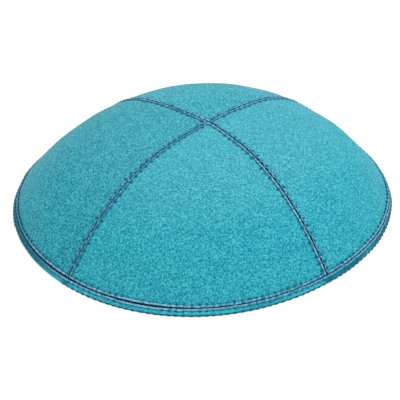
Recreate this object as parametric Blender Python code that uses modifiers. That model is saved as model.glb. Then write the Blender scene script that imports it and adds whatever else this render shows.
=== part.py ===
"""A suede skullcap: a crown of four sewn gores, with a narrow band folded round its rim.

Metres, +Z up. The cap rests on its rim, with the origin on the table at the rim's centre,
and the front gore faces -Y. Every piece is one thickness of suede. Where two pieces are
sewn together, their raw edges are turned outward and stand side by side in a low ridge.
"""

import math

import bmesh
import bpy
from mathutils import Vector

# Driving dimensions
RIM_RADIUS = 0.0850  # of the crown's outer face, at the seam that joins it to the band
CROWN_RISE = 0.0381  # from that seam up to the top of the crown
SUEDE = 0.0010  # thickness of the suede
SEAM_GAP = 0.0003  # between two pieces that are sewn face to face
RAW_EDGE = 0.0006  # how far the raw edges of a seam stand out of the suede
BAND_FACE = 0.0012  # the straight part of the band's outer leaf, below the rim seam
BAND_LEAF = 0.0090  # the band's inner leaf, above the rim seam
FOLD_PRESS = 0.00025  # how far the band's fold is pressed flat where it rests

# The crown's form. Its height falls with this power of the distance from the top: 2 gives
# a paraboloid, and more gives a flatter top with a rounder shoulder.
CROWN_POWER = 2.97
LEAN_RIGHT = 0.042  # how far the crown's top leans towards +X, as a share of RIM_RADIUS
LEAN_FRONT = 0.013  # and towards -Y

# How the soft rim is out of round: so many lobes, each swelling by a share of the radius,
# with one lobe at the azimuth.
RIM_LOBES = (
    # lobes, swell, azimuth in degrees
    (2, 0.0170, 74.0),
    (3, 0.0039, 6.0),
    (4, 0.0081, 85.0),
)

# The crown's seams, anticlockwise. Each ends at its azimuth on the rim, and has turned by
# its twist when it reaches the top. Its bow curves it in between. The gore lies on its
# anticlockwise side.
SEAMS = (
    # azimuth, twist and bow in degrees, gore
    (-51.8, -0.6, -6.0, "crown_gore_right"),
    (43.1, 1.2, -2.7, "crown_gore_back"),
    (127.9, 11.1, -1.6, "crown_gore_left"),
    (228.1, -3.0, 1.5, "crown_gore_front"),
)

# How finely the sheets are divided
GORE_COLUMNS = 18
GORE_ROWS = 16
ROW_CROWDING = 0.8  # below 1 the rows lie closer together towards the rim
BAND_STATIONS = len(SEAMS) * (GORE_COLUMNS + 1)
FOLD_STEPS = 8
LEAF_STEPS = 3

FOOT = SEAM_GAP / 2 + SUEDE  # from the middle of a seam to the foot of its ridge
FOLD_WIDTH = 2 * SUEDE + SEAM_GAP  # across the band's two leaves
RIM_SLOPE = math.atan2(CROWN_POWER * CROWN_RISE, RIM_RADIUS)
RIM_STRETCH = math.hypot(RIM_RADIUS, CROWN_POWER * CROWN_RISE)
# The rim seam's height puts the underside of the fold on the table.
SEAM_HEIGHT = (
    (FOOT + BAND_FACE) * math.sin(RIM_SLOPE)
    + FOLD_WIDTH / 2 * (1 + math.cos(RIM_SLOPE))
    - FOLD_PRESS
)

TEAL = (0.045, 0.42, 0.50, 1.0)
DULL = 0.95  # roughness
MERGE = 1e-6  # points that lie together
NUDGE = 1e-4  # the small step that a slope is measured over
CREASE = math.radians(40)  # sharper edges than this are not shaded smooth


def swell(azimuth):
    """How much wider than round the rim is at an azimuth, as a share of its radius."""
    return sum(
        share * math.cos(lobes * (azimuth - math.radians(at)))
        for lobes, share, at in RIM_LOBES
    )


def crown_point(azimuth, share):
    """The crown's outer face: share is 0 at the top and 1 at the rim seam."""
    radius = RIM_RADIUS * share * (1 + swell(azimuth) * share)
    lean = RIM_RADIUS * (1 - share**2)
    return Vector(
        (
            radius * math.cos(azimuth) + LEAN_RIGHT * lean,
            radius * math.sin(azimuth) - LEAN_FRONT * lean,
            SEAM_HEIGHT + CROWN_RISE * (1 - share**CROWN_POWER),
        )
    )


def down_slope(azimuth, share):
    """The unit direction straight down the crown's outer face."""
    below = crown_point(azimuth, share + NUDGE)
    above = crown_point(azimuth, share - NUDGE)
    return (below - above).normalized()


def way_out(azimuth, share):
    """The unit direction out of the crown's outer face."""
    ahead = crown_point(azimuth + NUDGE, share)
    behind = crown_point(azimuth - NUDGE, share)
    return down_slope(azimuth, share).cross(ahead - behind).normalized()


def seam_azimuth(seam, share):
    """Where a crown seam lies, in radians. Seams past the last count on round the rim."""
    azimuth, twist, bow, _ = SEAMS[seam % len(SEAMS)]
    rounds = math.tau * (seam // len(SEAMS))
    return math.radians(azimuth + (twist + bow * share) * (1 - share)) + rounds


def gore_top(seam):
    """The share at which a gore's two edges meet in its upper corner."""
    half_corner = (seam_azimuth(seam + 1, 0) - seam_azimuth(seam, 0)) / 2
    return FOOT / (RIM_RADIUS * math.sin(half_corner))


def on_gore(seam, across, down):
    """Azimuth and share of a point of a gore, from its first seam (0) to its second (1)
    and from its upper corner (0) to the rim seam (1)."""
    top = gore_top(seam)
    rim = 1 - FOOT / RIM_STRETCH
    share = top + (rim - top) * down**ROW_CROWDING
    if down == 0:
        return (seam_azimuth(seam, 0) + seam_azimuth(seam + 1, 0)) / 2, share
    foot = math.asin(FOOT / (RIM_RADIUS * share))
    first = seam_azimuth(seam, share) + foot
    second = seam_azimuth(seam + 1, share) - foot
    return first + (second - first) * across, share


def on_band(azimuth, along, out):
    """A point of the band: along is down from the rim seam, and out from the crown's face."""
    share = 1 + min(0.0, along) / RIM_STRETCH
    point = crown_point(azimuth, share)
    point += down_slope(azimuth, share) * max(0.0, along)
    point += way_out(azimuth, share) * out
    point.z = max(0.0, point.z)
    return point


def band_azimuth(station):
    """The band's stations follow the gores' columns, so that their edges lie side by side."""
    seam, column = divmod(station, GORE_COLUMNS + 1)
    return on_gore(seam, column / GORE_COLUMNS, 1)[0]


def band_section():
    """The band's closed outline as (along, out), from its raw edge down round the fold."""
    outline = [(SEAM_GAP / 2, RAW_EDGE), (FOOT, RAW_EDGE), (FOOT, 0.0)]
    for step in range(FOLD_STEPS + 1):
        turn = math.pi * step / FOLD_STEPS
        along = FOOT + BAND_FACE + FOLD_WIDTH / 2 * math.sin(turn)
        outline.append((along, FOLD_WIDTH / 2 * (math.cos(turn) - 1)))
    rises = [-BAND_LEAF * step / LEAF_STEPS for step in range(LEAF_STEPS + 1)]
    outline += [(rise, -FOLD_WIDTH) for rise in rises]
    outline += [(rise, SUEDE - FOLD_WIDTH) for rise in reversed(rises[1:])]
    outline.append((SEAM_GAP / 2, SUEDE - FOLD_WIDTH))
    return outline


def suede(name):
    """A matt dyed suede."""
    material = bpy.data.materials.new(name)
    material.use_nodes = True
    shader = material.node_tree.nodes["Principled BSDF"]
    shader.inputs["Base Color"].default_value = TEAL
    shader.inputs["Roughness"].default_value = DULL
    shader.inputs["Metallic"].default_value = 0.0
    return material


def make_piece(sheet, name, cap):
    """Turns a bmesh into a smoothly shaded piece of the cap."""
    mesh = bpy.data.meshes.new(name)
    sheet.to_mesh(mesh)
    sheet.free()
    mesh.shade_smooth()
    mesh.set_sharp_from_angle(angle=CREASE)
    mesh.materials.append(suede(name))
    piece = bpy.data.objects.new(name, mesh)
    cap.objects.link(piece)
    return piece


def build_gore(seam, cap):
    """One gore of the crown, with its raw edges turned outward on all three sides."""
    columns = GORE_COLUMNS + 2
    rows = GORE_ROWS + 2
    sheet = bmesh.new()
    bmesh.ops.create_grid(sheet, x_segments=columns, y_segments=rows, size=0.5)
    for vertex in sheet.verts:
        column = round((0.5 + vertex.co.x) * columns) - 1
        row = round((0.5 - vertex.co.y) * rows) - 1
        # The grid's outermost ring is the turned edge. It stands on the ring inside it.
        foot_column = min(max(column, 0), GORE_COLUMNS)
        foot_row = min(max(row, 0), GORE_ROWS)
        azimuth, share = on_gore(seam, foot_column / GORE_COLUMNS, foot_row / GORE_ROWS)
        vertex.co = crown_point(azimuth, share)
        if (column, row) != (foot_column, foot_row):
            vertex.co += way_out(azimuth, share) * RAW_EDGE
    # Every column ends in the upper corner, and so does the turned edge above it.
    bmesh.ops.remove_doubles(sheet, verts=sheet.verts, dist=MERGE)
    gore = make_piece(sheet, SEAMS[seam][-1], cap)
    wall = gore.modifiers.new("Suede", "SOLIDIFY")
    wall.thickness = SUEDE
    wall.offset = -1
    wall.use_even_offset = True
    wall.use_quality_normals = True


def build_band(cap):
    """The band: its section is turned about a straight axis, then laid along the rim."""
    ring = bmesh.new()
    outline = [ring.verts.new((RIM_RADIUS + out, 0.0, -along)) for along, out in band_section()]
    for first, second in zip(outline, outline[1:] + outline[:1], strict=True):
        ring.edges.new((first, second))
    bmesh.ops.spin(
        ring,
        geom=list(ring.verts) + list(ring.edges),
        cent=(0.0, 0.0, 0.0),
        axis=(0.0, 0.0, 1.0),
        angle=math.tau,
        steps=BAND_STATIONS,
        use_merge=True,
    )
    for vertex in ring.verts:
        turned = math.atan2(vertex.co.y, vertex.co.x) % math.tau
        station = round(turned / math.tau * BAND_STATIONS) % BAND_STATIONS
        out = math.hypot(vertex.co.x, vertex.co.y) - RIM_RADIUS
        vertex.co = on_band(band_azimuth(station), -vertex.co.z, out)
    bmesh.ops.recalc_face_normals(ring, faces=ring.faces)
    make_piece(ring, "rim_band", cap)


def main():
    for leftover in list(bpy.data.objects):
        bpy.data.objects.remove(leftover)
    cap = bpy.data.collections.new("skullcap")
    bpy.context.scene.collection.children.link(cap)
    for seam in range(len(SEAMS)):
        build_gore(seam, cap)
    build_band(cap)


main()
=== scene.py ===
"""The looks of a suede skullcap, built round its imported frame.

The crown is four gores of turquoise suede with a brushed nap. They are sewn to each other, and to a
narrow folded band round the rim, with their raw edges turned outward: each seam is a low ridge of
two pale cut edges with a dark gap between them, pinched together at every stitch.

All lengths are in metres, in the frame's own axes: +Z is up, the cap rests on z = 0, and the
front gore faces -Y. An azimuth runs anticlockwise from +X. A share is how far a point of the crown
lies from its top, from 0 there to 1 at the rim seam.
"""

from __future__ import annotations

import logging
import math
from dataclasses import dataclass, field, replace
from enum import Enum

import bpy
import numpy as np
import numpy.typing as npt
from mathutils import Euler, Matrix, Vector


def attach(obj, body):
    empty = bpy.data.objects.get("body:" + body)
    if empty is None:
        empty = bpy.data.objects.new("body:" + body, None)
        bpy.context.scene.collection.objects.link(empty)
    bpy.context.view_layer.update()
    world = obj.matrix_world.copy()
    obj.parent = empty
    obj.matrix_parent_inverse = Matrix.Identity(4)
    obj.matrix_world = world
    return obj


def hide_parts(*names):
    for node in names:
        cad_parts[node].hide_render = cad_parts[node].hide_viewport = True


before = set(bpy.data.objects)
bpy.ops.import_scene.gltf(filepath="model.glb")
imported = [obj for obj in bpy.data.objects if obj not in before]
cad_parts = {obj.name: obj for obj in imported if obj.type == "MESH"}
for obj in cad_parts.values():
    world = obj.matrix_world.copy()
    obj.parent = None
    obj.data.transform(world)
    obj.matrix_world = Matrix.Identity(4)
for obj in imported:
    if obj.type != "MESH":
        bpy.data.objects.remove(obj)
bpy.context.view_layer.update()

Array = npt.NDArray[np.float64]
Faces = npt.NDArray[np.int64]
Values = npt.ArrayLike
Colour = tuple[float, float, float]
Socket = bpy.types.NodeSocket

log = logging.getLogger("skullcap")

MM = 0.001
NUDGE = 1e-4  # the small step that a slope is measured over
TABLE_STEPS = 600  # in the table of how far it is along the crown's face
RIM_STEPS = 2881  # in the table of how far it is round the rim
ROW_STEPS = 20000  # in the search for the stitches of a row


def unit(vectors: Array) -> Array:
    """Vectors along the last axis, scaled to length 1."""
    return vectors / np.linalg.norm(vectors, axis=-1, keepdims=True)


def bell(distance: Array, width: float) -> Array:
    """A smooth bump: 1 at distance 0, falling as exp(-(distance / width) squared)."""
    return np.exp(-((distance / width) ** 2))


def link(name: str, data: bpy.types.ID) -> bpy.types.Object:
    """Adds an object with some data to the scene.

    Args:
        name: The object's name.
        data: Its mesh, light or camera.

    Returns:
        The object, at the origin.
    """
    thing = bpy.data.objects.new(name, data)
    bpy.context.scene.collection.objects.link(thing)
    return thing


def wrapped(angle: Array) -> Array:
    """Angles in radians, brought between -pi and pi."""
    return np.angle(np.exp(1j * angle))


def bell_round(azimuth: Array, at: float, half_width: float) -> Array:
    """A bell round an azimuth, where both that azimuth and the half width are in degrees."""
    return bell(wrapped(azimuth - math.radians(at)), math.radians(half_width))


def circles(start: Array, onward: Array, sides: int) -> Array:
    """Points evenly round unit circles: start * cos(turn) + onward * sin(turn).

    Args:
        start: The unit directions of the circles' first points.
        onward: The unit directions a quarter turn further.
        sides: How many points a circle has.

    Returns:
        The points, which follow each other along the last axis but one.
    """
    turn = np.linspace(0.0, math.tau, sides, endpoint=False)[:, None]
    return start[..., None, :] * np.cos(turn) + onward[..., None, :] * np.sin(turn)


def spot_rows(u: Values, v: Values, side: Values = 0, corner: Values = 0) -> Array:
    """Spots of a sheet as rows of u, v, the seam that they follow and whether it is a corner."""
    return np.stack(np.broadcast_arrays(u, v, side, corner), axis=-1)


def section_rows(
    along: Values,
    out: Values,
    cut: Values = 0.0,
    crease: Values = 0.0,
    hollow: Values = 0.0,
    hem: Values = 0.0,
) -> Array:
    """Points of a section. A single value counts for all of them.

    Args:
        along: How far they lie from the seam's middle.
        out: Their height over the outer face.
        cut: How much of the pale cut shows.
        crease: How much painted shade the crease along the foot has.
        hollow: How much painted shade the seam's hollow has.
        hem: How near they lie to the hem's line of stitches.

    Returns:
        One row of these six values for each point.
    """
    return np.stack(np.broadcast_arrays(along, out, cut, crease, hollow, hem), axis=-1)


@dataclass(frozen=True)
class Waves:
    """Soft unevenness: plane waves in random directions, added up.

    The height at a point is the sum over the waves of cos(wave vector . point + phase), scaled
    so that its root mean square is ``height``. The wavelengths lie evenly, in their
    logarithm, between the shortest and the longest.
    """

    height: float
    shortest: float
    longest: float
    seed: int
    count: int = 36

    def at(self, points: Array) -> Array:
        """The unevenness at some points.

        Args:
            points: Points along the first axes, with x, y and z along the last.

        Returns:
            One height for each point.
        """
        draw = np.random.default_rng(self.seed)
        headings = unit(draw.normal(size=(self.count, 3)))
        spread = draw.uniform(math.log(self.shortest), math.log(self.longest), self.count)
        phases = draw.uniform(0.0, math.tau, self.count)
        vectors = headings * (math.tau / np.exp(spread))[:, None]
        waves = np.cos(points @ vectors.T + phases)
        return waves.sum(axis=-1) * self.height * math.sqrt(2 / self.count)


@dataclass(frozen=True)
class Sewing:
    """The sizes of the suede and of how it is sewn, as the frame has them."""

    suede: float = 1.0 * MM
    gap: float = 0.3 * MM  # between two pieces that are sewn face to face
    raw_edge: float = 0.6 * MM  # how far the raw edges of a seam stand out of the suede
    bend: float = 0.40 * MM  # the hollow corner where the suede turns up to its raw edge
    rounding: float = 0.13 * MM  # of a cut edge's two corners
    lean: float = 0.03 * MM  # how much thinner the edge's outer side is at its top
    taper: float = 0.24 * MM  # and its inner side, which opens the seam
    touch: float = 0.012 * MM  # from the seam's middle to the suede, where it is sewn

    @property
    def foot(self) -> float:
        """From the middle of a seam to the foot of its ridge."""
        return self.gap / 2 + self.suede

    @property
    def closed(self) -> float:
        """How far an edge's top leans in where the seam is shut."""
        return self.gap / 2 + self.taper - 2 * self.touch

    def risen(self, height: Array) -> Array:
        """How far up a raw edge a height is: 0 at its foot, 1 at its top, and no more than 1.1."""
        return np.clip(height / self.raw_edge, 0.0, 1.1)


@dataclass(frozen=True)
class CrownForm:
    """The crown's outer face, with the same formula and sizes as the frame.

    The radius is rim_radius * share * (1 + swell * share), where the swell is a sum of a few
    cosines of the azimuth. The height falls with a power of the share, and the top leans
    by (1 - share squared) of a small offset.
    """

    sewing: Sewing = Sewing()
    rim_radius: float = 85.0 * MM
    rise: float = 38.1 * MM
    power: float = 2.97
    lean_right: float = 0.042
    lean_front: float = 0.013
    lobes: tuple[tuple[int, float, float], ...] = (
        (2, 0.0170, 74.0),
        (3, 0.0039, 6.0),
        (4, 0.0081, 85.0),
    )
    band_face: float = 1.2 * MM
    band_leaf: float = 9.0 * MM
    fold_press: float = 0.25 * MM
    drape: Waves = Waves(height=0.13 * MM, shortest=16 * MM, longest=48 * MM, seed=5)
    # Where a crown seam is pressed in: x, y and z of the middle, and how deep
    dents: tuple[tuple[float, float, float, float], ...] = (
        (50.5 * MM, 45.3 * MM, 23.2 * MM, 0.85 * MM),
        (-40.3 * MM, 48.8 * MM, 25.2 * MM, 0.65 * MM),
    )
    dent_width: float = 13 * MM

    @property
    def rim_stretch(self) -> float:
        """How far the face runs, per unit of share, at the rim seam."""
        return math.hypot(self.rim_radius, self.power * self.rise)

    @property
    def fold_width(self) -> float:
        """Across the band's two leaves."""
        return 2 * self.sewing.suede + self.sewing.gap

    @property
    def seam_height(self) -> float:
        """The rim seam's height, which puts the underside of the band's fold on the table."""
        slope = math.atan2(self.power * self.rise, self.rim_radius)
        drop = (self.sewing.foot + self.band_face) * math.sin(slope)
        return drop + self.fold_width / 2 * (1 + math.cos(slope)) - self.fold_press

    def point(self, azimuth: Array, share: Array) -> Array:
        """Points of the smooth face, before its drape.

        Args:
            azimuth: Azimuths in radians.
            share: Shares, in an array that fits the azimuths.

        Returns:
            Points, with x, y and z along the last axis.
        """
        swell = sum(
            rise * np.cos(lobes * (azimuth - math.radians(at))) for lobes, rise, at in self.lobes
        )
        radius = self.rim_radius * share * (1 + swell * share)
        lean = self.rim_radius * (1 - share**2)
        return np.stack(
            [
                radius * np.cos(azimuth) + self.lean_right * lean,
                radius * np.sin(azimuth) - self.lean_front * lean,
                self.seam_height + self.rise * (1 - np.abs(share) ** self.power),
            ],
            axis=-1,
        )

    def down(self, azimuth: Array, share: Array) -> Array:
        """The unit direction straight down the face."""
        return unit(self.point(azimuth, share + NUDGE) - self.point(azimuth, share - NUDGE))

    def round(self, azimuth: Array, share: Array) -> Array:
        """The unit direction anticlockwise round the face."""
        return unit(self.point(azimuth + NUDGE, share) - self.point(azimuth - NUDGE, share))

    def out(self, azimuth: Array, share: Array) -> Array:
        """The unit direction out of the face: down the face crossed with round it."""
        return unit(np.cross(self.down(azimuth, share), self.round(azimuth, share)))

    def sag(self, points: Array) -> Array:
        """The face's soft unevenness at some points: its drape, less its dents."""
        return self.drape.at(points) - self.deepest * self.pressed(points)

    def pressed(self, points: Array) -> Array:
        """How near points lie to the deepest dent: 1 in its middle, falling as a bell.

        Args:
            points: Points of the face.

        Returns:
            One value for each point.
        """
        near = [
            depth / self.deepest * bell(np.linalg.norm(points - middle, axis=-1), self.dent_width)
            for *middle, depth in self.dents
        ]
        return np.max(near, axis=0)

    @property
    def deepest(self) -> float:
        """How deep the deepest dent is."""
        return max(depth for *_, depth in self.dents)

    def slope_run(self, share: Array) -> Array:
        """How far it is along the face from the top, where the rim is round.

        Args:
            share: Shares.

        Returns:
            Distances, by adding up hypot(rim_radius, power * rise * share ** (power - 1)).
        """
        steps = np.linspace(0.0, 1.0, TABLE_STEPS)
        slope = np.hypot(self.rim_radius, self.power * self.rise * steps ** (self.power - 1))
        runs = np.concatenate([[0.0], np.cumsum((slope[1:] + slope[:-1]) / 2) * steps[1]])
        return np.interp(share, steps, runs)

    def share_at_run(self, run: Array) -> Array:
        """The share at a distance along the face from the top, undoing slope_run."""
        steps = np.linspace(0.0, 1.0, TABLE_STEPS)
        return np.interp(run, self.slope_run(steps), steps)


@dataclass(frozen=True)
class Stitch:
    """The nearest stitch to each of some spots along a seam."""

    off: Array  # the distance from its middle, signed
    pull: Array  # how tight it was pulled, round 1


@dataclass(frozen=True)
class Track:
    """Some spots along a seam, as its thread and its fibres need them."""

    base: Array  # on the crown's smooth face
    out: Array  # the unit direction out of the face
    aside: Array  # anticlockwise of a crown seam, or up the crown from the rim seam
    stitch: Stitch
    loose: Array  # how far its edges may part there
    opening: Array | float  # how much further than usual they do


@dataclass(frozen=True)
class StitchRow:
    """How the stitches of a seam follow each other.

    The count of stitches at a run along the seam is run / length, plus a slow sway, so that the
    stitches are a little uneven. The middles of the stitches are at the whole counts: the
    thread shows there, and each draws the seam together by its own pull.
    """

    length: float
    sway: float = 0.10
    sway_waves: float = 1 / 6.7  # sways for each stitch
    start: float = 0.0
    cycle: int = 211  # stitches until the pulls come round again
    seed: int = 3
    loosest: float = 0.55
    tightest: float = 1.12

    def count(self, run: Array) -> Array:
        """Stitches passed at a run along the seam."""
        even = run / self.length + self.start
        return even + self.sway * np.sin(math.tau * self.sway_waves * even)

    def nearest(self, run: Array) -> Stitch:
        """The nearest stitch at a run along the seam.

        Args:
            run: Runs along the seam.

        Returns:
            For each, how far off its middle is and how tight it was pulled.
        """
        count = self.count(run)
        number = np.round(count)
        pulls = np.random.default_rng(self.seed).uniform(self.loosest, self.tightest, self.cycle)
        return Stitch((count - number) * self.length, pulls[np.mod(number, self.cycle).astype(int)])

    def runs(self, first: float, last: float) -> Array:
        """The runs of the stitches' middles between two ends of a seam.

        Args:
            first: The run where the row starts.
            last: The run where it ends.

        Returns:
            The run of each stitch's middle.
        """
        run = np.linspace(first, last, ROW_STEPS)
        counts = self.count(run)
        whole = np.arange(math.ceil(counts[0]), math.floor(counts[-1]) + 1)
        return np.interp(whole, counts, run)


@dataclass(frozen=True)
class CrownSeam:
    """A seam of the crown, from its azimuth on the rim up to the top.

    It turns by its twist on the way up, and its bow curves it in between. Where it is tucked, its
    upper end was caught in the seam that crosses the top, so its edges lie close there.
    """

    azimuth: float  # degrees, at the rim
    twist: float  # degrees
    bow: float  # degrees
    gore: str  # on its anticlockwise side
    tucked: bool
    stitches: StitchRow
    slack: float  # how much further its edges part than usual
    pale_and_painted_shade: tuple[float, float]  # how pale its two cut edges are, the anticlockwise gore's first; painted light and shade, lighter on the side that faces the light
    tuck: float = 2.2 * MM

    def at(self, share: Array) -> Array:
        """The seam's azimuth in radians at a share: azimuth + (twist + bow * share)(1 - share)."""
        return np.radians(self.azimuth + (self.twist + self.bow * share) * (1 - share))

    def looseness(self, run: Array) -> Array:
        """How far its edges may part: 1 along the seam, and near 0 where it is tucked."""
        return 1 - self.tucked * bell(run, self.tuck)

    def track(self, form: CrownForm, run: Array) -> Track:
        """What lies at some runs along the seam.

        Args:
            form: The crown's form.
            run: Runs along the seam, down from the top.

        Returns:
            The spots there.
        """
        share = form.share_at_run(run)
        spot = self.at(share), share
        base, out, aside = form.point(*spot), form.out(*spot), form.round(*spot)
        return Track(base, out, aside, self.stitches.nearest(run), self.looseness(run), self.slack)


@dataclass(frozen=True)
class RimSeam:
    """The seam that joins the crown to the band.

    Its gap stands wider open round some azimuths, where the band's edge leans out.
    """

    form: CrownForm
    stitch: float = 3.0 * MM
    partings: tuple[tuple[float, float, float], ...] = (
        # azimuth and half width in degrees, how much wider it parts
        (-106.0, 13.0, 0.30 * MM),
        (-140.0, 14.0, 0.32 * MM),
        (-180.0, 22.0, 0.14 * MM),
        (100.0, 30.0, 0.14 * MM),
        (-18.0, 16.0, 0.16 * MM),
    )
    turned: tuple[tuple[float, float, float, float], ...] = (
        # where the band turns under, into its own shade: azimuth and half width, how dark its
        # face is there and how dark its cut edge
        (184.0, 40.0, 1.08, 1.05),
        (-140.0, 12.0, 0.45, 0.0),
        (-72.0, 13.0, 0.48, 0.0),
        (-42.0, 14.0, 0.80, 0.0),
        (-7.0, 33.0, 1.05, 0.20),
    )
    full: tuple[float, float] = (-150.0, 20.0)  # where the hem is full and hides its stitches
    pale_shut: float = 0.74  # how pale its cut edges are where it is shut
    pale_open: float = 1.12  # and where it stands open
    shade_under: float = 0.3  # how much less pale, as painted shade, where the band turns under
    sway_stitches: int = 7  # in each sway of the stitches

    def table(self) -> tuple[Array, Array]:
        """Azimuths once round the rim, and how far it is along the rim to each.

        Returns:
            The azimuths and the runs, added up from short straight steps.
        """
        turns = np.linspace(0.0, math.tau, RIM_STEPS)
        rim = self.form.point(turns, np.ones_like(turns))
        steps = np.linalg.norm(np.diff(rim, axis=0), axis=-1)
        return turns, np.concatenate([[0.0], np.cumsum(steps)])

    def run(self, azimuth: Array) -> Array:
        """How far it is along the rim from azimuth 0."""
        turns, runs = self.table()
        return np.interp(np.mod(azimuth, math.tau), turns, runs)

    def azimuth(self, run: Array) -> Array:
        """The azimuth at a run along the rim."""
        turns, runs = self.table()
        return np.interp(run, runs, turns)

    @property
    def length(self) -> float:
        """Once round the rim."""
        return float(self.table()[1][-1])

    @property
    def stitches(self) -> StitchRow:
        """A whole number of stitches, and of sways, goes once round."""
        number = round(self.length / self.stitch)
        waves = round(number / self.sway_stitches) / number
        return StitchRow(length=self.length / number, sway_waves=waves, cycle=number, seed=8)

    def track(self, run: Array, up: float = 0.0) -> Track:
        """What lies at some runs along the seam, or up the crown from there.

        Args:
            run: Runs along the seam, from azimuth 0.
            up: How far up the crown from the seam.

        Returns:
            The spots there.
        """
        azimuth = self.azimuth(run)
        spot = azimuth, np.full_like(azimuth, 1 - up / self.form.rim_stretch)
        base, out, aside = self.form.point(*spot), self.form.out(*spot), -self.form.down(*spot)
        stitch, opening = self.stitches.nearest(run), self.parting(azimuth)
        return Track(base, out, aside, stitch, np.ones_like(azimuth), opening)

    def parting(self, azimuth: Array) -> Array:
        """How much wider than usual the gap opens: a bell round each parting's azimuth."""
        return sum(wider * bell_round(azimuth, at, half) for at, half, wider in self.partings)

    def under(self, azimuth: Array, cut: bool = False) -> Array:
        """How dark the band is where it turns under: a bell round each turned azimuth.

        Args:
            azimuth: Azimuths in radians.
            cut: Whether it is asked for the band's cut edge, rather than for its face.

        Returns:
            0 where it is in the open, and about 1 in the deepest shade.
        """
        dark = [
            (on_cut if cut else on_face) * bell_round(azimuth, at, half_width)
            for at, half_width, on_face, on_cut in self.turned
        ]
        return np.max(dark, axis=0)

    def shown(self, azimuth: Array) -> Array:
        """How far the hem's stitches show: 1, less a bell round the azimuth where it is full."""
        return 1 - bell_round(azimuth, *self.full)

    def pale_and_painted_shade(self, azimuth: Array) -> Array:
        """How pale its cut edges are: paler where it stands open, dimmer in painted shade where the
        band turns under.

        Args:
            azimuth: Azimuths in radians.

        Returns:
            About 0.7 to 1.1.
        """
        widest = max(opening for *_, opening in self.partings)
        share = np.clip(self.parting(azimuth) / widest, 0.0, 1.0)
        pale = self.pale_shut + (self.pale_open - self.pale_shut) * share
        return pale * (1 - self.shade_under * self.under(azimuth, cut=True))


@dataclass(frozen=True)
class Ridge:
    """How a seam's two edges are drawn in by its stitches, and stand apart between them."""

    pinch: float = 0.34 * MM  # each edge's top moves this much towards the other at a stitch
    splay: float = 0.06 * MM  # and this much away between stitches
    dip: float = 0.10 * MM  # how much lower an edge stands at a stitch
    reach: float = 0.95 * MM  # of the pinch along the seam, either side of a stitch's middle
    tighter: float = 0.35  # how much dimmer the cut edge is where a stitch holds it
    tucked: float = 0.20 * MM  # how much lower an edge stands where its seam is tucked
    ragged: Waves = Waves(height=0.06 * MM, shortest=0.9 * MM, longest=6 * MM, seed=11)
    sideways: float = 0.6  # how much of the raggedness leans an edge to a side
    curl: float = 1.6  # a point leans over by this power of how far up the edge it is
    groove: float = 0.10 * MM  # how deep the suede is drawn in along a foot
    groove_width: float = 0.7 * MM
    dimple: float = 0.24 * MM  # deeper still at each stitch
    dimple_reach: float = 1.2 * MM
    dimple_length: float = 0.75 * MM
    swell: float = 0.07 * MM  # a soft roll beside the foot, between stitches
    swell_at: float = 1.7 * MM
    swell_width: float = 0.9 * MM
    line: float = 0.58  # painted shade along a foot's crease, between stitches
    line_width: float = 0.46 * MM
    tick: float = 1.15  # painted shade beside a stitch, as a tick
    tick_at: float = 0.40 * MM
    tick_length: float = 0.60 * MM
    tick_reach: float = 1.00 * MM

    def held(self, stitch: Stitch) -> Array:
        """How firmly a stitch holds the seam: its pull, faded by a bell round its middle."""
        return bell(stitch.off, self.reach) * stitch.pull

    def part(self, stitch: Stitch) -> Array:
        """How far an edge's top leans away: its splay between stitches, less their pinch."""
        near = bell(stitch.off, self.reach)
        return self.splay * (1 - near) - self.pinch * near * stitch.pull

    def relief(self, beside: Array, stitch: Stitch) -> Array:
        """The height of the suede beside a foot.

        Args:
            beside: The distance from the foot, out into the gore.
            stitch: The nearest stitch.

        Returns:
            Heights: a groove along the foot, a dimple at each stitch, and a soft roll between.
        """
        away = np.maximum(beside, 0.0)
        pulled = bell(stitch.off, self.dimple_length) * stitch.pull
        groove = self.groove * bell(away, self.groove_width)
        dimple = self.dimple * pulled * bell(away, self.dimple_reach)
        between = 1 - bell(stitch.off, self.reach)
        roll = self.swell * between * bell(away - self.swell_at, self.swell_width)
        return roll - groove - dimple

    def crease(self, stitch: Stitch) -> Array:
        """The painted shade on a foot itself: the line, and more beside each stitch."""
        return np.maximum(self.line, self.tick * bell(stitch.off, self.tick_length) * stitch.pull)

    def shade(self, beside: Array, stitch: Stitch) -> Array:
        """The painted shade on the suede beside a foot: a thin line, and a tick beside each stitch.

        Args:
            beside: The distance from the foot, out into the gore.
            stitch: The nearest stitch.

        Returns:
            0 for plain suede, and 1 or more for the darkest crease.
        """
        away = np.maximum(beside, 0.0)
        tick = self.tick * bell(stitch.off, self.tick_length) * stitch.pull
        tick = tick * bell(away - self.tick_at, self.tick_reach * stitch.pull)
        return np.maximum(self.line * bell(away, self.line_width), tick)


@dataclass
class Skin:
    """The points, faces and painted values of one piece, ready to become a mesh."""

    points: Array
    faces: list[Faces]
    paint: dict[str, Array] = field(default_factory=dict)

    def piece(self, name: str, material: bpy.types.Material) -> bpy.types.Object:
        """Makes the piece: a smoothly shaded mesh at the origin, with a value for each paint.

        Args:
            name: The piece's name.
            material: Its finish.

        Returns:
            The new object, linked to the scene.
        """
        mesh = bpy.data.meshes.new(name)
        mesh.vertices.add(len(self.points))
        mesh.vertices.foreach_set("co", self.points.astype(np.float32).ravel())
        corners = np.concatenate([faces.ravel() for faces in self.faces])
        sizes = np.concatenate([np.full(len(faces), faces.shape[1]) for faces in self.faces])
        mesh.loops.add(len(corners))
        mesh.loops.foreach_set("vertex_index", corners.astype(np.int32))
        mesh.polygons.add(len(sizes))
        starts = np.concatenate([[0], np.cumsum(sizes)[:-1]])
        mesh.polygons.foreach_set("loop_start", starts.astype(np.int32))
        mesh.update(calc_edges=True)
        mesh.shade_smooth()
        for paint, values in self.paint.items():
            layer = mesh.attributes.new(paint, "FLOAT", "POINT")
            layer.data.foreach_set("value", values.astype(np.float32).ravel())
        mesh.materials.append(material)
        return link(name, mesh)


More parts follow.
